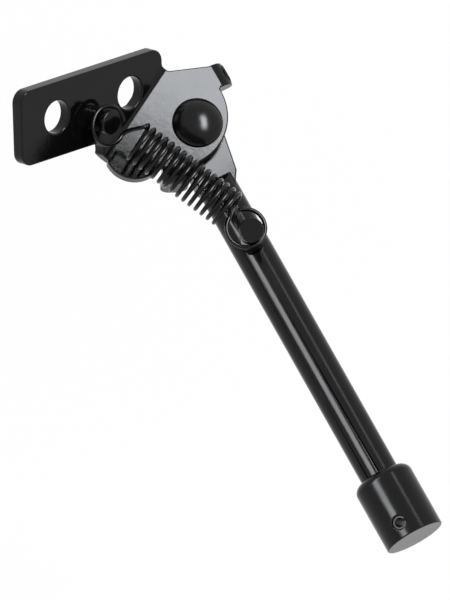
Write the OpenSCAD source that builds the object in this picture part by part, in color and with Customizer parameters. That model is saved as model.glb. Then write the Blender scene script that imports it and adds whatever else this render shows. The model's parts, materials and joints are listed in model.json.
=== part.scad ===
// Side stand for a scooter: a bent steel bracket, a swinging leg on a domed
// rivet, and a tension spring that holds the leg down or folded.
// The origin lies midway between the two bolt holes, on the face that bolts to
// the frame. +X runs along the flange towards the pivot, +Y points into the
// vehicle and +Z is up.

/* [Bracket plate] */
// Thickness of the steel plate
plate_t = 4; // [3:0.5:5]
// Inside radius of the main bend
bend_r = 2; // [1:0.5:3]
// Angle that the plate turns through at the main bend
bend_angle = 48.7806; // [45:0.0001:52]
// Slope of the main bend line, falling away from the pivot
bend_slope = 39.56; // [38:0.01:42]
// Distance from the nearer bolt hole to the corner of the main bend
bend_gap = 6.3; // [6:0.1:9]

/* [Flange] */
// Spacing of the two bolt holes
bolt_spacing = 31; // [28:1:40]
// Diameter of the bolt holes
bolt_hole_d = 10.2; // [8.4:0.1:10.4]
// Distance from the outer bolt hole to the free end
flange_end = 15; // [10:0.5:25]
// Height of the flange above the bolt line
flange_top = 11; // [9:0.5:16]
// Depth of the flange below the bolt line
flange_drop = 12.5; // [10:0.5:16]
// Radius of the flange corners
flange_corner_r = 4; // [2:0.5:6]
// Radius of the inner corner under the flange
neck_r = 2.5; // [1:0.5:3]
// Length that this corner takes off the end of the main bend
neck_trim = 0.5; // [0:0.1:1.5]

/* [Pivot plate] */
// Distance from the corner of the main bend to the pivot
pivot_out = 17.3; // [15:0.1:22]
// Distance of the pivot along the bend from the nearer bolt hole
pivot_along = 5; // [2:0.5:9]
// Turn between the square to the bend and the lowered leg
leg_turn = 29.3; // [20:0.1:35]
// Radius of the plate round the pivot
plate_r = 16.7; // [15:0.1:18]
// Sideways place of the centre of that radius from the pivot
plate_side = -5.3; // [-7:0.1:-4]
// Upward place of the centre of that radius from the pivot
plate_rise = 5.6; // [3:0.1:6]
// Radius of the lobe under the spring
lobe_r = 9.3; // [8:0.1:11]
// Sideways place of the lobe from the pivot
lobe_side = -21; // [-23:0.1:-19]
// Upward place of the lobe from the pivot
lobe_rise = 1.1; // [0:0.1:2]
// Length of the main bend beyond the nearer bolt hole
bend_end = 14.1; // [13:0.1:16]

/* [Stop tabs] */
// Inside radius of the tab bends
tab_bend_r = 0.5; // [0.4:0.1:1]
// Depth of the tab that stops the folded leg, behind the front of the plate
fold_tab_depth = 9; // [8:0.1:12]
// Depth of the tab that stops the lowered leg
down_tab_depth = 12.8; // [9:0.1:14]
// Radius of the corners of the tabs
tab_corner_r = 3.6; // [1:0.1:3.9]
// Width of the tab that stops the folded leg
fold_tab_w = 7.5; // [7.4:0.1:10]
// Sideways place of that tab's bend from the pivot
fold_tab_side = 11.8; // [11:0.1:14]
// Upward place of its lower end from the pivot
fold_tab_rise = 6.8; // [6:0.1:8]
// Width of the tab that stops the lowered leg
down_tab_w = 8.4; // [8:0.1:10]
// Slope of that tab's bend line
down_tab_slope = 25.1; // [20:0.1:30]
// Distance of its bend line below the pivot, square to the line
down_tab_drop = 13.4; // [12.6:0.1:13.8]
// Width of the relief cut beside that tab
tab_relief = 0.8; // [0.5:0.1:1.2]

/* [Pivot] */
// Diameter of the rivet shank
rivet_d = 8; // [6:0.5:9]
// Diameter of the domed head
head_d = 15.4; // [13:0.1:17]
// Height of the dome above its rim
dome_h = 4; // [2.5:0.1:6]
// Height of the straight rim under the dome
rim_h = 0.7; // [0.4:0.1:1.5]
// Diameter of the formed tail
tail_d = 12.6; // [11:0.1:15]
// Thickness of the formed tail
tail_h = 2.6; // [2:0.1:4]
// Radius of the tail's edge
tail_round = 1.8; // [1:0.1:1.9]
// Outer diameter of the washer under the tail
washer_d = 16; // [14:0.5:18]
// Thickness of that washer
washer_t = 1.5; // [1:0.1:2]
// Radial clearance of the washer on the shank
washer_play = 0.1; // [0.05:0.05:0.3]
// Radial clearance of the turning fits
pivot_play = 0.05; // [0.03:0.01:0.1]
// Free play on each side of the lug
side_play = 0.2; // [0.1:0.05:0.4]

/* [Leg] */
// Diameter of the round bar
rod_d = 12; // [10:0.5:13]
// Sideways offset of the bar from the pivot
rod_side = -2.3; // [-3:0.1:-2]
// Length from the pivot to the end of the foot
leg_l = 142.4; // [120:1:200]
// Thickness of the flattened lug
lug_t = 8; // [6:0.5:9]
// Radius of the lug round the pivot
lug_r = 8; // [7:0.1:8.5]
// Length of the flat of the lug below the pivot
lug_l = 17.2; // [16.5:0.1:24]
// Length over which the lug runs out into the bar
lug_runout = 4.3; // [3:0.1:8]
// Width of the lug's right side where the flat ends, as a share of its radius
lug_waist = 0.59; // [0.5:0.01:0.65]
// Width that pressing adds on the lug's left side
lug_spread = 0.15; // [0.1:0.05:0.3]
// Angle below the pivot's level where the straight right side begins
lug_lean = 11.1; // [8:0.1:14]

/* [Foot] */
// Outer diameter of the foot cap
foot_d = 18.5; // [16:0.5:26]
// Length of the foot cap
foot_l = 21.8; // [18:0.1:40]
// Thickness of the closed end of the cap
foot_floor = 2; // [1.5:0.1:4]
// Radius of the shoulder of the cap
foot_shoulder_r = 2.8; // [1:0.1:3]
// Diameter of the cross pin that holds the cap
pin_d = 4.2; // [3:0.1:4.4]
// Distance of the pin from the end of the foot
pin_rise = 4.7; // [4.5:0.1:8]
// Turn of the pin round the bar
pin_turn = 27; // [0:1:90]
// Wall of the rolled pin
pin_wall = 0.7; // [0.5:0.1:1]
// Depth of the pin's ends below the surface of the cap
pin_recess = 0.8; // [0.4:0.1:1.5]
// Width of the slot in the rolled pin
pin_slot = 0.8; // [0.4:0.1:1.2]

/* [Spring] */
// Diameter of the spring wire
wire_d = 1.3; // [1:0.1:1.6]
// Outer diameter of the coil
coil_d = 13; // [11:0.1:13.4]
// Number of turns in the body
coil_turns = 15; // [12:1:18]
// Distance from the centre of the upper loop to the coil
upper_reach = 9.3; // [8:0.1:10]
// Distance from the centre of the lower loop to the coil
lower_reach = 7.2; // [6.8:0.1:9]
// Sideways offset of the coil from the line between the loops
coil_shift = 1.4; // [0:0.1:2]
// Share of its way that the upper loop leans from the flange towards the coil
loop_lean = 0.38; // [0.2:0.01:0.4]

/* [Spring studs] */
// Diameter of the neck that holds a loop
neck_d = 5.6; // [4.5:0.1:6]
// Diameter of the stud heads
stud_head_d = 7.6; // [6.5:0.1:8.2]
// Thickness of the stud heads
stud_head_t = 1.5; // [1:0.1:2.5]
// Diameter of the body of a stud
stud_d = 7; // [6.4:0.1:7.4]
// Depth of the bracket stud below the bolt line
stud_drop = 4; // [2:0.1:6]
// Height of the upper loop above the flange
upper_loop_h = 4.4; // [4:0.1:6]
// Distance of the leg stud below the pivot
stud_low = 39.9; // [34:0.1:46]
// Lean of the leg stud round the bar, towards the spring
stud_lean = 7.44; // [0:0.01:9]
// Depth of the seat cut in the bar for that stud
stud_seat = 1.2; // [1:0.1:2]
// Height of the lower loop above the front of the bracket plate
lower_loop_h = 9.6; // [7:0.1:12]
// Length of a neck between the body and the head
neck_l = 3.2; // [2.8:0.1:3.6]

/* [Hidden] */
$fn = 64;

// Places on the bracket. Three frames are used. The flange frame is the
// object's own. The bend frame has its x axis along the main bend, on the
// corner of the two front faces. The pivot frame lies on the front of the
// pivot plate: its origin is the pivot axis, x runs sideways, y runs up the
// lowered leg and z points out along the pivot axis.
bolt_x = bolt_spacing / 2;
bend_dir = [cos(bend_slope), 0, sin(bend_slope)];
bend_up = [-sin(bend_slope), 0, cos(bend_slope)];
bend_corner = [
    bolt_x + bend_gap * sin(bend_slope),
    -plate_t,
    -bend_gap * cos(bend_slope)
];
// Length from the corner of the bend to where its curve starts
bend_set = bend_r * tan(bend_angle / 2);
// Distance from the pivot to where the curve starts on the pivot plate
plate_reach = pivot_out - bend_set;

// The bend ends on the left where the lobe meets it
lobe_out = lobe_rise * cos(leg_turn) - lobe_side * sin(leg_turn);
lobe_along = lobe_side * cos(leg_turn) + lobe_rise * sin(leg_turn);
lobe_chord = sqrt(pow(lobe_r, 2) - pow(plate_reach - lobe_out, 2));
bend_start = pivot_along + lobe_along - lobe_chord + neck_trim;

// Tabs, in the pivot frame
tab_out_r = tab_bend_r + plate_t;
// Overlap that joins each bend to the flat beside it
root = 0.5;
// Step at each end of the main bend, where the flats meet it
seam = 0.3;
// Length of a cut that runs past everything it meets
far = 60;

// Depths behind the front of the pivot plate
lug_front = -plate_t - side_play;
lug_back = lug_front - lug_t;
rod_z = (lug_front + lug_back) / 2;
washer_front = lug_back - side_play;
washer_back = washer_front - washer_t;

// Foot
foot_top = leg_l - foot_l;
rod_end = leg_l - foot_floor;
pin_low = leg_l - pin_rise;
pin_l = foot_d - 2 * pin_recess;

// Spring
coil_r = (coil_d - wire_d) / 2;
wire_r = wire_d / 2;
loop_gap = 0.3;
// The loop hangs on the far side of the neck
loop_shift = coil_r - wire_r - neck_d / 2 - loop_gap;
upper_stud = [0, -plate_t, -stud_drop];
lower_stud = [rod_side, -stud_low, rod_z];
lower_stud_l = (lower_loop_h - rod_z) / cos(stud_lean);

function unit(v) = v / norm(v);

// A point of the flange frame, seen in the pivot frame
function along_bend(p) = (p - bend_corner) * bend_dir - pivot_along;
function above_flange(p) = bend_corner[1] - p[1];
function out_of_pivot(p) =
    pivot_out
    + (p - bend_corner) * bend_up * cos(bend_angle)
    - above_flange(p) * sin(bend_angle);
function over_plate(p) =
    (p - bend_corner) * bend_up * sin(bend_angle)
    + above_flange(p) * cos(bend_angle);
function in_pivot(p) = [
    cos(leg_turn) * along_bend(p) - sin(leg_turn) * out_of_pivot(p),
    sin(leg_turn) * along_bend(p) + cos(leg_turn) * out_of_pivot(p),
    over_plate(p)
];

// Directions in the pivot frame
flange_normal = in_pivot(upper_stud - [0, 1, 0]) - in_pivot(upper_stud);
upper_neck = in_pivot(upper_stud - [0, upper_loop_h, 0]);
lower_stud_dir = [-sin(stud_lean), 0, cos(stud_lean)];
lower_neck = lower_stud + lower_stud_l * lower_stud_dir;
pull = unit(lower_neck - upper_neck);
// The upper loop leans part of the way from the flange towards the coil
loop_normal_up = unit(flange_normal - loop_lean * (flange_normal * pull) * pull);
loop_normal_low = unit(lower_stud_dir - (lower_stud_dir * pull) * pull);
toward_coil = unit(pull - (pull * loop_normal_up) * loop_normal_up);
upper_loop = upper_neck + loop_shift * toward_coil;
lower_loop = lower_neck - loop_shift * pull;

// Outline corners: each is [x, y, radius], in order round the shape
function ring_at(list, i) = list[(i + len(list)) % len(list)];
function flat(p) = [p[0], p[1]];
function back_arm(c, i) = unit(flat(ring_at(c, i - 1)) - flat(c[i]));
function next_arm(c, i) = unit(flat(ring_at(c, i + 1)) - flat(c[i]));
function half_angle(c, i) = acos(back_arm(c, i) * next_arm(c, i)) / 2;
function arc_start(c, i) = c[i][2] / tan(half_angle(c, i));
function arc_centre(c, i) =
    flat(c[i])
    + unit(back_arm(c, i) + next_arm(c, i)) * c[i][2] / sin(half_angle(c, i));
function is_inner(c, i) =
    back_arm(c, i)[0] * next_arm(c, i)[1] - back_arm(c, i)[1] * next_arm(c, i)[0] > 0;
function corner_points(c, i) =
    c[i][2] == 0
    ? [flat(c[i])]
    : [
        flat(c[i]) + back_arm(c, i) * arc_start(c, i),
        flat(c[i]) + next_arm(c, i) * arc_start(c, i)
    ];

// A flat shape with straight sides and round corners, drawn anticlockwise
module outline(c) {
    difference() {
        union() {
            polygon([for (i = [0:len(c) - 1]) each corner_points(c, i)]);
            for (i = [0:len(c) - 1])
                if (c[i][2] > 0 && !is_inner(c, i))
                    translate(arc_centre(c, i)) circle(r = c[i][2]);
        }
        for (i = [0:len(c) - 1])
            if (c[i][2] > 0 && is_inner(c, i))
                translate(arc_centre(c, i)) circle(r = c[i][2]);
    }
}

module bend_frame() {
    translate(bend_corner) rotate([0, -bend_slope, 0]) children();
}

// The axis that the main bend turns round, with the flange side of the plate
module bend_axis() {
    bend_frame() translate([0, -bend_r, bend_set]) children();
}

module pivot_frame() {
    bend_axis()
        rotate([-bend_angle, 0, 0])
        translate([pivot_along, bend_r, -plate_reach])
        rotate([90, 0, 0])
        rotate([0, 0, -leg_turn])
        children();
}

// Turns a shape drawn along +Z so that it runs down the lowered leg
module down_leg() {
    rotate([90, 0, 0]) children();
}

// The bracket's flange, with its two bolt holes
function flange_point(s, up) =
    let (p = bend_corner + s * bend_dir + up * bend_up) [p[0], p[2]];
function tidy(p) = [round(p[0] * 100) / 100, round(p[1] * 100) / 100];
neck_low = tidy(flange_point(bend_start + seam, bend_set + root / 2));
neck_high = tidy(flange_point(bend_end - seam, bend_set + root / 2));
flange_outline = [
    [neck_low[0], neck_low[1], 0],
    [neck_high[0], neck_high[1], 0],
    [neck_high[0], flange_top, flange_corner_r],
    [-bolt_x - flange_end, flange_top, flange_corner_r],
    [-bolt_x - flange_end, -flange_drop, flange_corner_r],
    [neck_low[0], -flange_drop, neck_r]
];

module flange() {
    difference() {
        rotate([90, 0, 0]) linear_extrude(plate_t) outline(flange_outline);
        for (x = [-bolt_x, bolt_x])
            translate([x, 1, 0]) rotate([90, 0, 0]) cylinder(d = bolt_hole_d, h = plate_t + 2);
        translate([upper_stud[0], 1, upper_stud[2]])
            rotate([90, 0, 0]) cylinder(d = neck_d, h = plate_t + 2);
    }
}

// The bend's section, seen along its axis: a ring between two short flats
module bend_section() {
    flat_start = [bend_r, 0];
    translate(flat_start) square([plate_t, root]);
    rotate(-bend_angle) mirror([0, 1]) translate(flat_start) square([plate_t, root]);
    intersection() {
        difference() {
            circle(r = bend_r + plate_t, $fn = 128);
            circle(r = bend_r);
        }
        translate([0, -far]) square(far);
        rotate(-bend_angle) square(far);
    }
}

module main_bend() {
    bend_axis()
        translate([bend_start, 0, 0])
        rotate([90, 0, 90])
        linear_extrude(bend_end - bend_start)
        bend_section();
}

// The pivot plate's outline, cut square where the main bend starts
fold_tab_low = [fold_tab_side, fold_tab_rise];
fold_tab_high = [fold_tab_side, fold_tab_rise + fold_tab_w];
bend_side_right = pivot_to_plate(bend_end - seam - pivot_along, plate_reach);
bend_side_left = pivot_to_plate(bend_start - pivot_along, plate_reach);
function pivot_to_plate(along, out) = [
    cos(leg_turn) * along - sin(leg_turn) * out,
    sin(leg_turn) * along + cos(leg_turn) * out
];
// The lowered leg's tab: its bend line ends just clear of the lug
lug_left = rod_side - rod_d / 2 - lug_spread;
down_tab_dir = [cos(down_tab_slope), -sin(down_tab_slope)];
down_tab_out = [-sin(down_tab_slope), -cos(down_tab_slope)];
down_tab_right =
    down_tab_out * down_tab_drop
    + down_tab_dir * (
        (lug_left - side_play - down_tab_out[0] * (down_tab_drop + tab_bend_r))
        / down_tab_dir[0]
    );
down_tab_left = down_tab_right - down_tab_dir * down_tab_w;

module pivot_plate_outline() {
    difference() {
        union() {
            polygon([
                bend_side_right,
                bend_side_left,
                [lobe_side, lobe_rise],
                [plate_side, plate_rise - plate_r + tab_out_r],
                fold_tab_low,
                fold_tab_high
            ]);
            translate([plate_side, plate_rise]) circle(r = plate_r, $fn = 128);
            translate([lobe_side, lobe_rise]) circle(r = lobe_r);
        }
        rotate(leg_turn) translate([-far, plate_reach - root / 2]) square(2 * far);
        translate([fold_tab_side, -far]) square(2 * far);
        polygon([bend_side_right, fold_tab_high, fold_tab_high + [0, far], bend_side_right + [0, far]]);
        translate(down_tab_left)
            rotate(-down_tab_slope)
            translate([-tab_relief, -far])
            square([down_tab_w + 2 * tab_relief, far]);
    }
}

// A tab bent back from the plate, with round corners at its free end. Its bend
// line starts at the origin and runs along +X, and the tab leaves towards -Y.
module bent_tab(w, depth) {
    translate([0, 0, -plate_t]) cube([w, root, plate_t]);
    translate([0, 0, -tab_out_r])
        rotate([90, 0, 90])
        mirror([1, 0, 0])
        rotate_extrude(angle = 90)
        translate([tab_bend_r, 0])
        square([plate_t, w]);
    translate([0, -tab_bend_r, -tab_out_r])
        rotate([90, 0, 0])
        linear_extrude(plate_t)
        outline([
            [0, tab_out_r - depth, tab_corner_r],
            [w, tab_out_r - depth, tab_corner_r],
            [w, 0, 0],
            [0, 0, 0]
        ]);
}

module pivot_plate() {
    difference() {
        translate([0, 0, -plate_t]) linear_extrude(plate_t) pivot_plate_outline();
        translate([0, 0, -plate_t - 1]) cylinder(d = rivet_d, h = plate_t + 2);
    }
    translate(fold_tab_low) rotate(90) bent_tab(fold_tab_w, fold_tab_depth);
    translate(down_tab_left) rotate(-down_tab_slope) bent_tab(down_tab_w, down_tab_depth);
}

module mount_bracket() {
    color("#1b1b1d") union() {
        flange();
        main_bend();
        pivot_frame() pivot_plate();
    }
}

// The leg: round bar whose end is pressed flat into a drilled lug
lug_flank = lug_r * lug_waist;
rod_flat = sqrt(pow(rod_d / 2, 2) - pow(lug_t / 2, 2));
// The straight sides start and end just inside the round surfaces they meet
lug_inset = 0.3;
// Where the round bar begins, inside the lug
rod_start = lug_l - 2.5;

module lug_outline() {
    circle(r = lug_r);
    polygon([
        [-lug_r + lug_inset, 0],
        [lug_left, -lug_l],
        [rod_side - rod_flat + lug_inset, -lug_l - lug_runout],
        [rod_side + rod_flat - lug_inset, -lug_l - lug_runout],
        [lug_flank, -lug_l],
        [(lug_r - lug_inset) * cos(lug_lean), -(lug_r - lug_inset) * sin(lug_lean)]
    ]);
}

// The space that is pressed away on each side of the lug
module lug_clearance() {
    rise = rod_d / 2 - lug_t / 2 + 1;
    rotate([90, 0, -90])
        translate([0, 0, -rod_d])
        linear_extrude(2 * rod_d)
        polygon([
            [-2 * lug_r, 0],
            [lug_l, 0],
            [lug_l + rise, rise],
            [-2 * lug_r, rise]
        ]);
}

module leg() {
    color("#151517") pivot_frame() difference() {
        union() {
            translate([0, 0, lug_back]) linear_extrude(lug_t) lug_outline();
            translate([rod_side, -rod_start, rod_z])
                down_leg() cylinder(d = rod_d, h = rod_end - rod_start);
        }
        translate([0, 0, lug_front]) lug_clearance();
        translate([0, 0, lug_back]) mirror([0, 0, 1]) lug_clearance();
        translate([0, 0, lug_back - 1]) cylinder(d = rivet_d + 2 * pivot_play, h = lug_t + 2);
        leg_stud_hole();
        pin_hole();
    }
}

module leg_stud_frame() {
    translate(lower_stud) rotate([0, -stud_lean, 0]) children();
}

module leg_stud_hole() {
    leg_stud_frame() {
        cylinder(d = neck_d, h = rod_d);
        translate([0, 0, rod_d / 2 - stud_seat]) cylinder(d = stud_d, h = rod_d);
    }
}

module pin_hole() {
    translate([rod_side, -pin_low, rod_z])
        rotate([0, -pin_turn, 0])
        translate([0, 0, -foot_d])
        cylinder(d = pin_d, h = 2 * foot_d);
}

// The rivet: dome in front, shank through plate and lug, tail behind
dome_sphere_r = (pow(head_d / 2, 2) + pow(dome_h, 2)) / (2 * dome_h);

module pivot_rivet() {
    color("#111113") pivot_frame() {
        cylinder(d = head_d, h = rim_h);
        intersection() {
            translate([0, 0, rim_h + dome_h - dome_sphere_r]) sphere(r = dome_sphere_r, $fn = 128);
            translate([0, 0, rim_h]) cylinder(d = head_d, h = dome_h + 1);
        }
        translate([0, 0, washer_back]) cylinder(d = rivet_d, h = -washer_back);
        translate([0, 0, washer_back - tail_h]) rotate_extrude() tail_outline();
    }
}

// Half of the tail's section, with the round edge that the closing tool leaves
module tail_outline() {
    centre = [tail_d / 2 - tail_round, tail_round];
    difference() {
        square([tail_d / 2, tail_h]);
        difference() {
            translate([centre[0], 0]) square([tail_h, tail_round]);
            translate(centre) circle(r = tail_round);
        }
    }
}

module pivot_washer() {
    color("#8d9094") pivot_frame()
        translate([0, 0, washer_back])
        difference() {
            cylinder(d = washer_d, h = washer_t);
            translate([0, 0, -1]) cylinder(d = rivet_d + 2 * washer_play, h = washer_t + 2);
        }
}

// A stud: shank below the seat, body, neck for the loop, and head
module stud(shank, body) {
    translate([0, 0, -shank]) cylinder(d = neck_d, h = shank + body + neck_l);
    cylinder(d = stud_d, h = body);
    translate([0, 0, body + neck_l]) cylinder(d = stud_head_d, h = stud_head_t);
}

module bracket_spring_stud() {
    color("#151517")
        translate(upper_stud) rotate([90, 0, 0]) stud(plate_t, upper_loop_h - neck_l / 2);
}

module leg_spring_stud() {
    seat = rod_d / 2 - stud_seat;
    color("#151517") pivot_frame() leg_stud_frame()
        translate([0, 0, seat])
        stud(seat, lower_stud_l - seat - neck_l / 2);
}

// The foot cap: a closed sleeve over the end of the bar
module foot_cap() {
    color("#121214") pivot_frame() difference() {
        translate([rod_side, -foot_top, rod_z]) down_leg() rotate_extrude() foot_outline();
        translate([rod_side, -foot_top + 1, rod_z])
            down_leg() cylinder(d = rod_d, h = 1 + foot_l - foot_floor);
        pin_hole();
    }
}

module foot_outline() {
    r = foot_shoulder_r;
    translate([0, r]) square([foot_d / 2, foot_l - r]);
    square([foot_d / 2 - r, r + 1]);
    translate([foot_d / 2 - r, r]) circle(r = r);
}

// The rolled pin that crosses the cap and the bar
module foot_pin() {
    color("#2a2b2d") pivot_frame()
        translate([rod_side, -pin_low, rod_z])
        rotate([0, -pin_turn, 0])
        translate([0, 0, -pin_l / 2])
        difference() {
            cylinder(d = pin_d, h = pin_l);
            translate([0, 0, -1]) cylinder(d = pin_d - 2 * pin_wall, h = pin_l + 2);
            translate([0, -pin_slot / 2, -1]) cube([pin_d, pin_slot, pin_l + 2]);
        }
}

// The spring's wire as a chain of points. Each end is a full loop that turns
// smoothly into the coil.
TURN_STEPS = 14;
LOOP_STEPS = 16;
WIRE_SIDES = 7;
JOIN_STEPS = 5;

coil_axis = unit(lower_loop - upper_loop);
// Directions square to the coil: out from the plate, and towards the rivet
coil_out = unit([0, 0, 1] - coil_axis[2] * coil_axis);
coil_right = cross(coil_out, coil_axis);
coil_start = upper_loop + upper_reach * coil_axis + coil_shift * coil_right;
coil_end = lower_loop - lower_reach * coil_axis + coil_shift * coil_right;
// The coil takes over from the upper loop in front and leaves for the lower
// loop behind, each an eighth of a turn beside its highest point on the right
coil_first = -45;
coil_sweep = 360 * coil_turns + 90;

function coil_point(t) =
    let (a = coil_first + coil_sweep * t)
    coil_start * (1 - t) + coil_end * t
    + coil_r * (cos(a) * coil_right - sin(a) * coil_out);

// A point of a loop: a is measured from the side nearest the coil
function loop_point(centre, toward, normal, a) =
    centre + coil_r * (cos(a) * toward + sin(a) * cross(normal, toward));

// A smooth join from p to q that leaves along u and arrives along v
function join_point(p, u, q, v, t) =
    p * (1 + 2 * t) * pow(1 - t, 2)
    + u * t * pow(1 - t, 2)
    + q * t * t * (3 - 2 * t)
    - v * t * t * (1 - t);

function heading(a, b) = unit(b - a);

// Each loop is nearly closed. These angles, from the side nearest the coil, say
// where the upper loop's free end lies and where the lower loop starts.
loop_sweep = 320;
upper_end = 52;
lower_join = 10;
upper_loop_points = [
    for (i = [0:LOOP_STEPS])
        loop_point(
            upper_loop, toward_coil, loop_normal_up,
            upper_end + loop_sweep * i / LOOP_STEPS
        )
];
coil_steps = round(TURN_STEPS * coil_sweep / 360);
coil_points = [for (i = [0:coil_steps]) coil_point(i / coil_steps)];
lower_loop_points = [
    for (i = [0:LOOP_STEPS])
        loop_point(
            lower_loop, -coil_axis, loop_normal_low,
            lower_join + loop_sweep * i / LOOP_STEPS
        )
];

function last(list, back = 0) = list[len(list) - 1 - back];
// How strongly a join follows the headings at its two ends
join_pull = 8;
function join(from, to) = [
    for (t = [1 / JOIN_STEPS:1 / JOIN_STEPS:1 - 0.5 / JOIN_STEPS])
        join_point(
            last(from), join_pull * heading(last(from, 1), last(from)),
            to[0], join_pull * heading(to[0], to[1]),
            t
        )
];
wire_path = concat(
    upper_loop_points,
    join(upper_loop_points, coil_points),
    coil_points,
    join(coil_points, lower_loop_points),
    lower_loop_points
);

// A direction that is clearly not along the start of the wire
first_side = [0.3, 0.2, 1];

// A tube along a chain of points, with a ring of corners at each point
function path_dir(path, i) =
    unit(path[min(i + 1, len(path) - 1)] - path[max(i - 1, 0)]);
function carry(side, dir) = unit(side - (side * dir) * dir);
function sides_along(path, i, side, out = []) =
    i == len(path)
    ? out
    : let (next = carry(side, path_dir(path, i)))
        sides_along(path, i + 1, next, concat(out, [next]));

module wire_tube(path, r) {
    sides = sides_along(path, 0, first_side);
    n = len(path);
    m = WIRE_SIDES;
    corners = [
        for (i = [0:n - 1])
            for (k = [0:m - 1])
                path[i]
                + r * cos(360 * k / m) * sides[i]
                + r * sin(360 * k / m) * cross(path_dir(path, i), sides[i])
    ];
    walls = [
        for (i = [0:n - 2])
            for (k = [0:m - 1])
                [i * m + k, (i + 1) * m + k, (i + 1) * m + (k + 1) % m, i * m + (k + 1) % m]
    ];
    first_end = [for (k = [0:m - 1]) k];
    last_end = [for (k = [m - 1:-1:0]) (n - 1) * m + k];
    polyhedron(corners, concat(walls, [first_end, last_end]), convexity = 10);
}

module spring() {
    color("#18181a") pivot_frame() wire_tube(wire_path, wire_r);
}

mount_bracket();
leg();
pivot_rivet();
pivot_washer();
bracket_spring_stud();
leg_spring_stud();
spring();
foot_cap();
foot_pin();
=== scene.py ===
import json
import math

import bmesh
import bpy
from mathutils import Matrix, Vector


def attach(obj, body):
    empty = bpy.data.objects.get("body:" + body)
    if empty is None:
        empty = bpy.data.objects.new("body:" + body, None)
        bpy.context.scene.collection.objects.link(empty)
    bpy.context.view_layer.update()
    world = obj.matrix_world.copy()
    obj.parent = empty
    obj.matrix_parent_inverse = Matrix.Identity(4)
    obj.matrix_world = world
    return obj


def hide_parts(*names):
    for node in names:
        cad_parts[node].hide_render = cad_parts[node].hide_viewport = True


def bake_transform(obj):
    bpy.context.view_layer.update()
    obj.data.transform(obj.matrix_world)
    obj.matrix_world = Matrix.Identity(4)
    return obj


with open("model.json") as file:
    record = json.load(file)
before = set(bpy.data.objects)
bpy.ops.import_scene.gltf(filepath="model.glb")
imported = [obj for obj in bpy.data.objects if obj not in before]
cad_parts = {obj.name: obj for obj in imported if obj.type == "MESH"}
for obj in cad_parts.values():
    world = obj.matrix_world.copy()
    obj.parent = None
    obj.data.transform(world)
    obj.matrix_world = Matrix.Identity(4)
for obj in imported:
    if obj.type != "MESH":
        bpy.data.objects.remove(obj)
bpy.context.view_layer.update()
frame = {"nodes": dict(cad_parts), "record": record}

MM = 0.001


# The pivot frame of the source: its origin is the pivot, on the front of the
# plate, x runs sideways, y up the lowered leg and z out along the pivot axis.
PIVOT = Vector((30.6275, -17.01292, -10.46132)) * MM
SIDE = Vector((0.87770908, -0.36810949, 0.30679338))
UP_LEG = Vector((0.01131005, 0.65596339, 0.75470797))
OUT = Vector((-0.47906039, -0.65894419, 0.57990836))


def pivot_matrix():
    m = Matrix((SIDE, UP_LEG, OUT)).transposed().to_4x4()
    m.translation = PIVOT
    return m


# Camera: the photograph's view, a long lens from the front left and above
CAMERA_RIGHT = Vector((0.7036, -0.71, -0.0283)).normalized()
TO_CAMERA = Vector((-0.6689, -0.675, 0.3112)).normalized()
CAMERA_UP = TO_CAMERA.cross(CAMERA_RIGHT).normalized()
VIEW_CENTRE = Vector((13.64, -43.66, -56.70)) * MM
CAMERA_DISTANCE = 6
PIXELS_PER_MM = 3.33
PHOTO_HEIGHT = 600
SENSOR = 24
NEAR_CLIP = 0.05
FAR_CLIP = 50


def camera_direction(right, up, toward):
    v = CAMERA_RIGHT * right + CAMERA_UP * up + TO_CAMERA * toward
    return v.normalized()


def add_camera():
    data = bpy.data.cameras.new("camera")
    camera = bpy.data.objects.new("camera", data)
    bpy.context.scene.collection.objects.link(camera)
    right = (CAMERA_RIGHT - TO_CAMERA * CAMERA_RIGHT.dot(TO_CAMERA)).normalized()
    up = TO_CAMERA.cross(right)
    m = Matrix((right, up, TO_CAMERA)).transposed().to_4x4()
    m.translation = VIEW_CENTRE + TO_CAMERA * CAMERA_DISTANCE
    camera.matrix_world = m
    data.sensor_width = SENSOR
    data.lens = SENSOR * CAMERA_DISTANCE / (PHOTO_HEIGHT / PIXELS_PER_MM * MM)
    data.clip_start = NEAR_CLIP
    data.clip_end = FAR_CLIP
    bpy.context.scene.camera = camera


# Small helpers for node materials
def new_material(name):
    material = bpy.data.materials.new(name)
    material.use_nodes = True
    nodes = material.node_tree.nodes
    return material, nodes, material.node_tree.links, nodes["Principled BSDF"]


def noise(nodes, links, coords, scale, detail, rough=0.5):
    n = nodes.new("ShaderNodeTexNoise")
    n.inputs["Scale"].default_value = scale
    n.inputs["Detail"].default_value = detail
    n.inputs["Roughness"].default_value = rough
    links.new(coords, n.inputs["Vector"])
    return n.outputs["Fac"]


def remap(nodes, links, value, low, high, out_low, out_high):
    n = nodes.new("ShaderNodeMapRange")
    n.inputs["From Min"].default_value = low
    n.inputs["From Max"].default_value = high
    n.inputs["To Min"].default_value = out_low
    n.inputs["To Max"].default_value = out_high
    links.new(value, n.inputs["Value"])
    return n.outputs["Result"]


def two_colours(nodes, links, value, dark, light):
    ramp = nodes.new("ShaderNodeValToRGB")
    ramp.color_ramp.elements[0].color = (*dark, 1)
    ramp.color_ramp.elements[1].color = (*light, 1)
    links.new(value, ramp.inputs["Fac"])
    return ramp.outputs["Color"]


# Black enamel. Noise scales are per metre of object space, depths in metres.
# GLOSS_LEVEL is below a real enamel's 0.5, so that it stays black in a white room.
BLACK = (0.0035, 0.0033, 0.0032)
BLACK_WARM = (0.0065, 0.0056, 0.0052)
IOR = 1.5
GLOSS_LEVEL = 0.2
CLOUD_SCALE = 90
BLOTCH_SCALE = 160
PEEL_SCALE = 520
DUST_SCALE = 2600
DUST_ROUGHNESS = 0.7
PEEL_DEPTH = 0.00012
DUST_DEPTH = 0.00003

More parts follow.
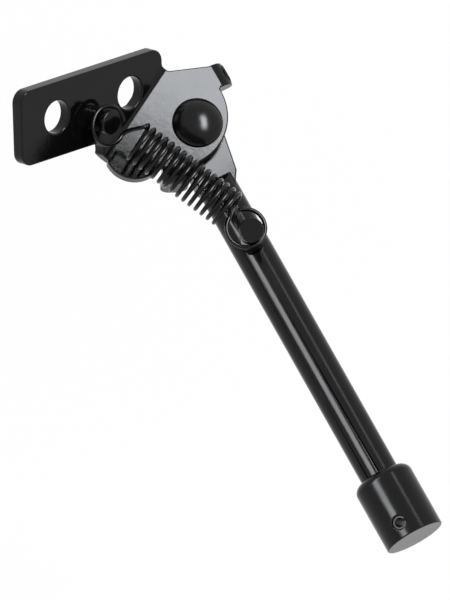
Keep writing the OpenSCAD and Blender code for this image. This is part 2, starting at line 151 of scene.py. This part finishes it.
# Slot: material name, roughness where smooth and where rough, peel, specks
PAINTS = {
    "plate_paint": ("plate_enamel", 0.07, 0.12, 0.12, 0.3),
    "rod_paint": ("rod_enamel", 0.12, 0.2, 0.1, 0.15),
    "rivet_paint": ("rivet_enamel", 0.16, 0.24, 0.08, 0.1),
    "washer_steel": ("washer_enamel", 0.2, 0.3, 0.1, 0.2),
    "stud_paint": ("stud_enamel", 0.14, 0.22, 0.1, 0.1),
    "spring_wire": ("spring_enamel", 0.16, 0.24, 0.05, 0.1),
    "foot_paint": ("foot_enamel", 0.12, 0.2, 0.15, 0.15),
    "pin_steel": ("pin_enamel", 0.25, 0.35, 0.1, 0.2),
}


def bump(nodes, links, height, strength, depth, under=None):
    n = nodes.new("ShaderNodeBump")
    n.inputs["Strength"].default_value = strength
    n.inputs["Distance"].default_value = depth
    links.new(height, n.inputs["Height"])
    if under:
        links.new(under, n.inputs["Normal"])
    return n.outputs["Normal"]


def enamel(name, smooth, rough, peel, specks):
    """Sprayed gloss enamel: a little orange peel, fine specks and cloudy gloss."""
    material, nodes, links, shader = new_material(name)
    coords = nodes.new("ShaderNodeTexCoord").outputs["Object"]
    cloud = noise(nodes, links, coords, CLOUD_SCALE, 4)
    colour = two_colours(nodes, links, cloud, BLACK, BLACK_WARM)
    links.new(colour, shader.inputs["Base Color"])
    blotch = noise(nodes, links, coords, BLOTCH_SCALE, 5)
    gloss = remap(nodes, links, blotch, 0.3, 0.7, smooth, rough)
    links.new(gloss, shader.inputs["Roughness"])
    skin = noise(nodes, links, coords, PEEL_SCALE, 2)
    dust = noise(nodes, links, coords, DUST_SCALE, 3, DUST_ROUGHNESS)
    peeled = bump(nodes, links, skin, peel, PEEL_DEPTH)
    dusted = bump(nodes, links, dust, specks, DUST_DEPTH, peeled)
    links.new(dusted, shader.inputs["Normal"])
    shader.inputs["IOR"].default_value = IOR
    shader.inputs["Specular IOR Level"].default_value = GLOSS_LEVEL
    return material


materials = {slot: enamel(*paint) for slot, paint in PAINTS.items()}
SLOT_OF = {s["node"]: s["material_slot"] for s in frame["record"]["subparts"]}
BODY_OF = {
    n: body
    for body, members in frame["record"]["behaviour"]["bodies"].items()
    for n in members
}


def finish_piece(obj, node):
    """Gives a piece its paint, body and slot, in place of the CAD node."""
    slot = SLOT_OF[node]
    obj.data.materials.clear()
    obj.data.materials.append(materials[slot])
    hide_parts(node)
    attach(obj, BODY_OF[node])


def link_mesh(name, bm):
    mesh = bpy.data.meshes.new(name)
    bm.to_mesh(mesh)
    bm.free()
    obj = bpy.data.objects.new(name, mesh)
    bpy.context.scene.collection.objects.link(obj)
    return obj


def apply_modifiers(obj):
    bpy.context.view_layer.update()
    graph = bpy.context.evaluated_depsgraph_get()
    mesh = bpy.data.meshes.new_from_object(obj.evaluated_get(graph))
    obj.modifiers.clear()
    obj.data = mesh


# Cleaning and easing of the CAD meshes
WELD = 4e-5
FLAT_ANGLE = 0.6
SHARP_ANGLE = 28
ROOM_BESIDE = 1.3
ROUND_TOLERANCE = 0.00004
FACING = 0.96


def mark_edges_to_ease(bm, width):
    """Weights the sharp edges that have room beside them for an eased edge."""
    layer = bm.edges.layers.float.new("bevel_weight_edge")
    limit = math.radians(SHARP_ANGLE)
    sharp = {e for e in bm.edges if e.is_manifold and e.calc_face_angle() > limit}
    for edge in sharp:
        beside = [e for v in edge.verts for e in v.link_edges if e not in sharp]
        if all(e.calc_length() > ROOM_BESIDE * width for e in beside):
            edge[layer] = 1


def eased_copy(node, name, width, segments=3):
    """A copy of a CAD node whose sharp edges are eased, as on a painted part."""
    bm = bmesh.new()
    bm.from_mesh(frame["nodes"][node].data)
    bmesh.ops.remove_doubles(bm, verts=bm.verts, dist=WELD)
    bmesh.ops.dissolve_limit(
        bm,
        angle_limit=math.radians(FLAT_ANGLE),
        verts=bm.verts,
        edges=bm.edges,
        use_dissolve_boundaries=False,
    )
    for face in bm.faces:
        face.smooth = True
    mark_edges_to_ease(bm, width * MM)
    obj = link_mesh(name, bm)
    bevel = obj.modifiers.new("bevel", "BEVEL")
    bevel.width = width * MM
    bevel.segments = segments
    bevel.limit_method = "WEIGHT"
    bevel.use_clamp_overlap = False
    even = obj.modifiers.new("even", "WEIGHTED_NORMAL")
    even.mode = "FACE_AREA"
    even.weight = 100
    apply_modifiers(obj)
    finish_piece(obj, node)
    return obj


def true_round(obj, centre, axis, radius):
    """Gives the faces of one cylinder the normals of the true round surface."""
    mesh = obj.data
    normals = [Vector(n.vector) for n in mesh.corner_normals]
    for face in mesh.polygons:
        radials = []
        for v in face.vertices:
            d = mesh.vertices[v].co - centre
            d -= axis * d.dot(axis)
            radials.append(d)
        on_it = all(abs(d.length - radius) < ROUND_TOLERANCE for d in radials)
        if on_it and all(face.normal.dot(d) > FACING * d.length for d in radials):
            for loop, d in zip(face.loop_indices, radials):
                normals[loop] = d.normalized()
    mesh.normals_split_custom_set(normals)


# Turned pieces: a profile of (radius, height) corners, each with its own
# rounding, turned round an axis
def rounded_profile(corners, steps=5):
    points = []
    last = len(corners) - 1
    for i, (r, h, rounding) in enumerate(corners):
        if rounding == 0 or i == 0 or i == last:
            points.append((r, h))
            continue
        here = Vector((r, h))
        back = Vector(corners[i - 1][:2]) - here
        ahead = Vector(corners[i + 1][:2]) - here
        start = here + back.normalized() * rounding
        end = here + ahead.normalized() * rounding
        for k in range(steps + 1):
            t = k / steps
            p = start * (1 - t) ** 2 + here * 2 * t * (1 - t) + end * t ** 2
            points.append((p.x, p.y))
    return points


def turned(name, profile, matrix, sides=96):
    """A closed solid of revolution; the profile runs from axis to axis."""
    bm = bmesh.new()
    rings = []
    for r, h in profile:
        if r < 1e-6:
            rings.append([bm.verts.new((0, 0, h * MM))])
            continue
        rings.append(
            [
                bm.verts.new(
                    (
                        r * MM * math.cos(2 * math.pi * k / sides),
                        r * MM * math.sin(2 * math.pi * k / sides),
                        h * MM,
                    )
                )
                for k in range(sides)
            ]
        )
    for a, b in zip(rings, rings[1:]):
        for k in range(sides):
            j = (k + 1) % sides
            ring_a = [a[0]] if len(a) == 1 else [a[k], a[j]]
            ring_b = [b[0]] if len(b) == 1 else [b[j], b[k]]
            if len(ring_a) + len(ring_b) > 2:
                bm.faces.new(ring_a + ring_b)
    bmesh.ops.recalc_face_normals(bm, faces=bm.faces)
    for face in bm.faces:
        face.smooth = True
    bmesh.ops.transform(bm, matrix=matrix, verts=bm.verts)
    obj = link_mesh(name, bm)
    obj.data.set_sharp_from_angle(angle=math.radians(40))
    return obj


# Sizes of the turned pieces, in millimetres, as in the source
PLATE_T = 4.0
HEAD_D = 15.4
DOME_H = 4.0
RIM_H = 0.7
RIVET_D = 8.0
WASHER_BACK = -14.1
TAIL_D = 12.6
TAIL_H = 2.6
TAIL_ROUND = 1.8


def rivet_profile():
    radius = ((HEAD_D / 2) ** 2 + DOME_H ** 2) / (2 * DOME_H)
    centre = RIM_H + DOME_H - radius
    edge = math.asin(HEAD_D / 2 / radius)
    dome = [
        (radius * math.sin(edge * k / 24), centre + radius * math.cos(edge * k / 24))
        for k in range(23)
    ]
    rim = rounded_profile(
        [
            (dome[-1][0], dome[-1][1], 0),
            (HEAD_D / 2, RIM_H, 0.35),
            (HEAD_D / 2, 0, 0),
        ]
    )
    tail = rounded_profile(
        [
            (RIVET_D / 2, 0, 0),
            (RIVET_D / 2, WASHER_BACK, 0),
            (TAIL_D / 2, WASHER_BACK, 0),
            (TAIL_D / 2, WASHER_BACK - TAIL_H, TAIL_ROUND),
            (0, WASHER_BACK - TAIL_H, 0),
        ],
        8,
    )
    return dome + rim[1:] + tail


def make_rivet():
    obj = turned("rivet", rivet_profile(), pivot_matrix(), 128)
    finish_piece(obj, "pivot_rivet")


NECK_D = 5.6
STUD_HEAD_D = 7.6
STUD_HEAD_T = 1.5
STUD_D = 7.0
NECK_L = 3.2
UPPER_LOOP_H = 4.4
STUD_DROP = 4.0
ROD_D = 12.0
ROD_SIDE = -2.3
ROD_Z = -8.2
FOOT_D = 18.5
STUD_LOW = 39.9
STUD_LEAN = math.radians(7.44)
STUD_SEAT = 1.2
LOWER_LOOP_H = 9.6
LOWER_STUD_L = (LOWER_LOOP_H - ROD_Z) / math.cos(STUD_LEAN)


def stud_profile(shank, body):
    top = body + NECK_L + STUD_HEAD_T
    return rounded_profile(
        [
            (0, top, 0),
            (STUD_HEAD_D / 2, top, 0.45),
            (STUD_HEAD_D / 2, body + NECK_L, 0.25),
            (NECK_D / 2, body + NECK_L, 0.2),
            (NECK_D / 2, body, 0.2),
            (STUD_D / 2, body, 0.3),
            (STUD_D / 2, 0, 0),
            (NECK_D / 2, 0, 0),
            (NECK_D / 2, -shank, 0),
            (0, -shank, 0),
        ]
    )


def make_bracket_stud():
    place = Matrix.Translation(Vector((0, -PLATE_T, -STUD_DROP)) * MM)
    turn = Matrix.Rotation(math.radians(90), 4, "X")
    profile = stud_profile(PLATE_T, UPPER_LOOP_H - NECK_L / 2)
    obj = turned("bracket_stud", profile, place @ turn)
    finish_piece(obj, "bracket_spring_stud")


def make_leg_stud():
    seat = ROD_D / 2 - STUD_SEAT
    foot = Matrix.Translation(Vector((ROD_SIDE, -STUD_LOW, ROD_Z)) * MM)
    lean = Matrix.Rotation(-STUD_LEAN, 4, "Y")
    lift = Matrix.Translation(Vector((0, 0, seat)) * MM)
    profile = stud_profile(seat, LOWER_STUD_L - seat - NECK_L / 2)
    obj = turned("leg_stud", profile, pivot_matrix() @ foot @ lean @ lift)
    finish_piece(obj, "leg_spring_stud")


# The spring: the same path as in the source, swept finely with a round wire
WIRE_D = 1.3
COIL_D = 13.0
COIL_TURNS = 15
UPPER_REACH = 9.3
LOWER_REACH = 7.2
COIL_SHIFT = 1.4
LOOP_LEAN = 0.38
LOOP_GAP = 0.3
LOOP_SWEEP = 320
UPPER_END = 52
LOWER_JOIN = 10
JOIN_PULL = 8
COIL_R = (COIL_D - WIRE_D) / 2
LOOP_SHIFT = COIL_R - WIRE_D / 2 - NECK_D / 2 - LOOP_GAP
COIL_FIRST = -45
COIL_SWEEP = 360 * COIL_TURNS + 90
LOOP_STEPS = 48
TURN_STEPS = 36
JOIN_STEPS = 14
WIRE_SIDES = 14


def in_pivot(point):
    d = Vector(point) - PIVOT / MM
    return Vector((d.dot(SIDE), d.dot(UP_LEG), d.dot(OUT)))


def spring_path():
    upper_base = Vector((0, -PLATE_T, -STUD_DROP))
    upper_neck = in_pivot(upper_base - Vector((0, UPPER_LOOP_H, 0)))
    flange_normal = in_pivot(upper_base - Vector((0, 1, 0))) - in_pivot(upper_base)
    stud_dir = Vector((-math.sin(STUD_LEAN), 0, math.cos(STUD_LEAN)))
    lower_neck = Vector((ROD_SIDE, -STUD_LOW, ROD_Z)) + LOWER_STUD_L * stud_dir
    pull = (lower_neck - upper_neck).normalized()
    normal_up = (flange_normal - LOOP_LEAN * flange_normal.dot(pull) * pull).normalized()
    normal_low = (stud_dir - stud_dir.dot(pull) * pull).normalized()
    toward = (pull - pull.dot(normal_up) * normal_up).normalized()
    upper_loop = upper_neck + LOOP_SHIFT * toward
    lower_loop = lower_neck - LOOP_SHIFT * pull
    axis = (lower_loop - upper_loop).normalized()
    out = (Vector((0, 0, 1)) - axis.z * axis).normalized()
    right = out.cross(axis)
    start = upper_loop + UPPER_REACH * axis + COIL_SHIFT * right
    end = lower_loop - LOWER_REACH * axis + COIL_SHIFT * right

    def loop(centre, toward, normal, first):
        beside = normal.cross(toward)
        points = []
        for i in range(LOOP_STEPS + 1):
            a = math.radians(first + LOOP_SWEEP * i / LOOP_STEPS)
            points.append(centre + COIL_R * (math.cos(a) * toward + math.sin(a) * beside))
        return points

    def coil():
        points = []
        count = round(TURN_STEPS * COIL_SWEEP / 360)
        for i in range(count + 1):
            t = i / count
            a = math.radians(COIL_FIRST + COIL_SWEEP * t)
            ring = COIL_R * (math.cos(a) * right - math.sin(a) * out)
            points.append(start * (1 - t) + end * t + ring)
        return points

    first = loop(upper_loop, toward, normal_up, UPPER_END)
    middle = coil()
    last = loop(lower_loop, -axis, normal_low, LOWER_JOIN)
    return first + join(first, middle) + middle + join(middle, last) + last


def join(before, after):
    """A smooth join that leaves along one piece of the wire and meets the next."""
    p = before[-1]
    q = after[0]
    u = JOIN_PULL * (before[-1] - before[-2]).normalized()
    v = JOIN_PULL * (after[1] - after[0]).normalized()
    points = []
    for i in range(1, JOIN_STEPS):
        t = i / JOIN_STEPS
        points.append(
            p * (1 + 2 * t) * (1 - t) ** 2
            + u * t * (1 - t) ** 2
            + q * t * t * (3 - 2 * t)
            - v * t * t * (1 - t)
        )
    return points


def wire_sections(path, radius):
    """The wire's own points, with short rounded ends."""
    first = (path[1] - path[0]).normalized()
    last = (path[-1] - path[-2]).normalized()
    ease = 0.25 * radius
    start = [(path[0], radius - ease), (path[0] + first * ease, radius)]
    end = [(path[-1] - last * ease, radius), (path[-1], radius - ease)]
    return start + [(p, radius) for p in path[1:-1]] + end


def swept_wire(name, path, radius):
    sections = wire_sections(path, radius)
    bm = bmesh.new()
    matrix = pivot_matrix()
    side = Vector((0.3, 0.2, 1))
    rings = []
    for i, (point, r) in enumerate(sections):
        ahead = sections[min(i + 1, len(sections) - 1)][0]
        behind = sections[max(i - 1, 0)][0]
        along = (ahead - behind).normalized()
        side = (side - side.dot(along) * along).normalized()
        beside = along.cross(side)
        ring = []
        for k in range(WIRE_SIDES):
            a = 2 * math.pi * k / WIRE_SIDES
            p = point + r * (math.cos(a) * side + math.sin(a) * beside)
            ring.append(bm.verts.new(matrix @ (p * MM)))
        rings.append(ring)
    for a, b in zip(rings, rings[1:]):
        for k in range(WIRE_SIDES):
            j = (k + 1) % WIRE_SIDES
            bm.faces.new((a[k], a[j], b[j], b[k]))
    bm.faces.new(rings[0][::-1])
    bm.faces.new(rings[-1])
    for face in bm.faces:
        face.smooth = len(face.verts) == 4
    return link_mesh(name, bm)


def make_spring():
    path = spring_path()
    obj = swept_wire("spring_wire_coil", path, WIRE_D / 2)
    slot = SLOT_OF["spring"]
    obj.data.materials.append(materials[slot])
    matrix = pivot_matrix()
    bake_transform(obj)
    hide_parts("spring")


# Stage: a pale floor, a pale world, soft lamps, and soft cards that only show
# in the gloss
ROOM_COLOUR = (0.95, 0.97, 1, 1)
ROOM_STRENGTH = 0.1
FLOOR_Z = -0.2
FLOOR_SIZE = 4
FLOOR_GLOW = 0.93
FLOOR_GREY = 0.1
FLOOR_GREY_AS_LIGHT = 0.12
CARD_COLOUR = (0.93, 0.96, 1, 1)


def emptied(node_tree):
    node_tree.nodes.clear()
    return node_tree.nodes, node_tree.links


def stage_material(name):
    material = bpy.data.materials.new(name)
    material.use_nodes = True
    nodes, links = emptied(material.node_tree)
    return material, nodes, links


def maths(nodes, links, operation, a, b=None):
    n = nodes.new("ShaderNodeMath")
    n.operation = operation
    links.new(a, n.inputs[0])
    if b is not None:
        links.new(b, n.inputs[1])
    return n.outputs[0]


def added(nodes, links, a, b):
    n = nodes.new("ShaderNodeAddShader")
    links.new(a, n.inputs[0])
    links.new(b, n.inputs[1])
    return n.outputs[0]


def background_or_light(nodes, links, shown, lit):
    """The background to the camera, the gloss and clear pieces; dim as a light."""
    path = nodes.new("ShaderNodeLightPath").outputs
    shown_to = path["Is Camera Ray"]
    for ray in ("Is Glossy Ray", "Is Transmission Ray"):
        shown_to = maths(nodes, links, "MAXIMUM", shown_to, path[ray])
    mix = nodes.new("ShaderNodeMixShader")
    links.new(shown_to, mix.inputs["Fac"])
    links.new(lit, mix.inputs[1])
    links.new(shown, mix.inputs[2])
    return mix.outputs["Shader"]


def background(nodes, colour, strength):
    n = nodes.new("ShaderNodeBackground")
    n.inputs["Color"].default_value = colour
    n.inputs["Strength"].default_value = strength
    return n.outputs[0]


def make_world():
    world = bpy.data.worlds.new("studio")
    bpy.context.scene.world = world
    world.use_nodes = True
    nodes, links = emptied(world.node_tree)
    white = background(nodes, (1, 1, 1, 1), 1)
    room = background(nodes, ROOM_COLOUR, ROOM_STRENGTH)
    out = nodes.new("ShaderNodeOutputWorld")
    surface = background_or_light(nodes, links, white, room)
    links.new(surface, out.inputs["Surface"])


def grey_diffuse(nodes, grey):
    n = nodes.new("ShaderNodeBsdfDiffuse")
    n.inputs["Color"].default_value = (grey, grey, grey, 1)
    return n.outputs[0]


def make_floor():
    bm = bmesh.new()
    bmesh.ops.create_grid(bm, x_segments=1, y_segments=1, size=FLOOR_SIZE)
    bmesh.ops.translate(bm, verts=bm.verts, vec=(0, 0, FLOOR_Z))
    floor = link_mesh("floor", bm)
    material, nodes, links = stage_material("floor")
    glow = nodes.new("ShaderNodeEmission")
    glow.inputs["Strength"].default_value = FLOOR_GLOW
    pale = added(nodes, links, grey_diffuse(nodes, FLOOR_GREY), glow.outputs[0])
    plain = grey_diffuse(nodes, FLOOR_GREY_AS_LIGHT)
    out = nodes.new("ShaderNodeOutputMaterial")
    surface = background_or_light(nodes, links, pale, plain)
    links.new(surface, out.inputs["Surface"])
    floor.data.materials.append(material)


def card_material(name, strength, soft):
    """A glow that fades towards the card's edges, on a clear card."""
    material, nodes, links = stage_material(name)
    split = nodes.new("ShaderNodeSeparateXYZ")
    coords = nodes.new("ShaderNodeTexCoord").outputs["Object"]
    links.new(coords, split.inputs[0])
    fades = []
    for axis, edge in zip(("X", "Y"), soft):
        fade = nodes.new("ShaderNodeMapRange")
        fade.interpolation_type = "SMOOTHSTEP"
        fade.inputs["From Min"].default_value = 0.5
        fade.inputs["From Max"].default_value = 0.5 - edge
        from_middle = maths(nodes, links, "ABSOLUTE", split.outputs[axis])
        links.new(from_middle, fade.inputs["Value"])
        fades.append(fade.outputs["Result"])
    level = nodes.new("ShaderNodeMath")
    level.operation = "MULTIPLY"
    level.inputs[1].default_value = strength
    links.new(maths(nodes, links, "MULTIPLY", *fades), level.inputs[0])
    glow = nodes.new("ShaderNodeEmission")
    glow.inputs["Color"].default_value = CARD_COLOUR
    links.new(level.outputs[0], glow.inputs["Strength"])
    clear = nodes.new("ShaderNodeBsdfTransparent")
    out = nodes.new("ShaderNodeOutputMaterial")
    both = added(nodes, links, glow.outputs[0], clear.outputs[0])
    links.new(both, out.inputs["Surface"])
    return material


def card(name, direction, up, distance, across, along, strength, soft, only):
    """A soft-edged light card, seen only in the gloss of the named pieces.

    across and along are its extents in millimetres beside and up from the line
    that leaves the pivot in the given direction. It is clear, so that no card
    hides another.
    """
    bm = bmesh.new()
    bmesh.ops.create_grid(bm, x_segments=1, y_segments=1, size=0.5)
    obj = link_mesh(name, bm)
    z = direction.normalized()
    x = up.cross(z).normalized()
    y = z.cross(x)
    middle_x = (across[0] + across[1]) / 2 * MM
    middle_y = (along[0] + along[1]) / 2 * MM
    extent = ((across[1] - across[0]) * MM, (along[1] - along[0]) * MM, 1, 1)
    m = Matrix((x, y, z)).transposed().to_4x4()
    m.translation = PIVOT + z * distance + x * middle_x + y * middle_y
    obj.matrix_world = m @ Matrix.Diagonal(extent)
    obj.data.materials.append(card_material(name, strength, soft))
    obj.visible_camera = False
    obj.visible_diffuse = False
    obj.visible_shadow = False
    group = bpy.data.collections.new(name + "_lights")
    for piece in only:
        group.objects.link(bpy.data.objects[piece])
    obj.light_linking.receiver_collection = group


def lamp(name, direction, size, watts):
    data = bpy.data.lights.new(name, "AREA")
    data.shape = "DISK"
    data.size = size
    data.energy = watts
    obj = bpy.data.objects.new(name, data)
    bpy.context.scene.collection.objects.link(obj)
    z = direction.normalized()
    obj.location = VIEW_CENTRE + z * LAMP_DISTANCE
    obj.rotation_mode = "QUATERNION"
    obj.rotation_quaternion = z.to_track_quat("Z", "Y")
    obj.visible_glossy = False
    obj.visible_camera = False


LAMP_DISTANCE = 1.5
LEG_PIECES = ["leg_bar", "foot_sleeve", "rolled_pin", "leg_stud"]
SMALL_PIECES = ["rivet", "bracket_stud", "washer", "spring_wire_coil"]

# The direction that the pivot plate and the lug mirror to the camera, and the
# direction square to the spring in the picture
PLATE_MIRROR = camera_direction(0.2165, 0.575, 0.789)
OVER_SPRING = camera_direction(0.496, 0.868, 0)

# Name: direction, up, distance in metres, extents across and along in
# millimetres, strength, soft share of each extent, the pieces that mirror it
CARDS = {
    "card_key": (
        camera_direction(0.5, 0.34, 0.79), CAMERA_UP, 0.4,
        (-105, 105), (-250, 250), 34, (0.35, 0.35), SMALL_PIECES,
    ),
    "card_plate": (
        PLATE_MIRROR, OVER_SPRING, 0.3,
        (-60, 60), (-11, 80), 27, (0.05, 0.05), ["bracket_plate"],
    ),
    "card_lug": (
        PLATE_MIRROR, UP_LEG, 0.12,
        (-40, 40), (-19, 30), 25, (0.05, 0.05), ["leg_bar"],
    ),
    "card_left": (
        camera_direction(-0.5585, 0.1454, 0.8164), CAMERA_UP, 0.9,
        (-210, 210), (-350, 350), 16, (0.25, 0.25), LEG_PIECES,
    ),
    "card_right": (
        camera_direction(0.45, 0.66, 0.60), CAMERA_UP, 0.9,
        (-100, 100), (-220, 120), 5, (0.3, 0.3), LEG_PIECES,
    ),
}


def make_lights():
    lamp("lamp_key", camera_direction(0.5, 0.6, 0.8), 0.8, 14)
    lamp("lamp_fill", camera_direction(-0.7, 0.3, 0.6), 1.0, 6)
    lamp("lamp_back", camera_direction(0.2, 0.7, -0.7), 1.0, 6)
    for name, values in CARDS.items():
        card(name, *values)


add_camera()
make_world()
make_floor()

eased_copy("mount_bracket", "bracket_plate", 0.45)
bar_centre = pivot_matrix() @ (Vector((ROD_SIDE, 0, ROD_Z)) * MM)
leg_bar = eased_copy("leg", "leg_bar", 0.5)
true_round(leg_bar, bar_centre, UP_LEG, ROD_D / 2 * MM)
eased_copy("pivot_washer", "washer", 0.2)
foot_sleeve = eased_copy("foot_cap", "foot_sleeve", 0.4)
true_round(foot_sleeve, bar_centre, UP_LEG, FOOT_D / 2 * MM)
eased_copy("foot_pin", "rolled_pin", 0.12, 2)
make_rivet()
make_bracket_stud()
make_leg_stud()
make_spring()
make_lights()

bpy.context.scene.view_settings.view_transform = "Standard"
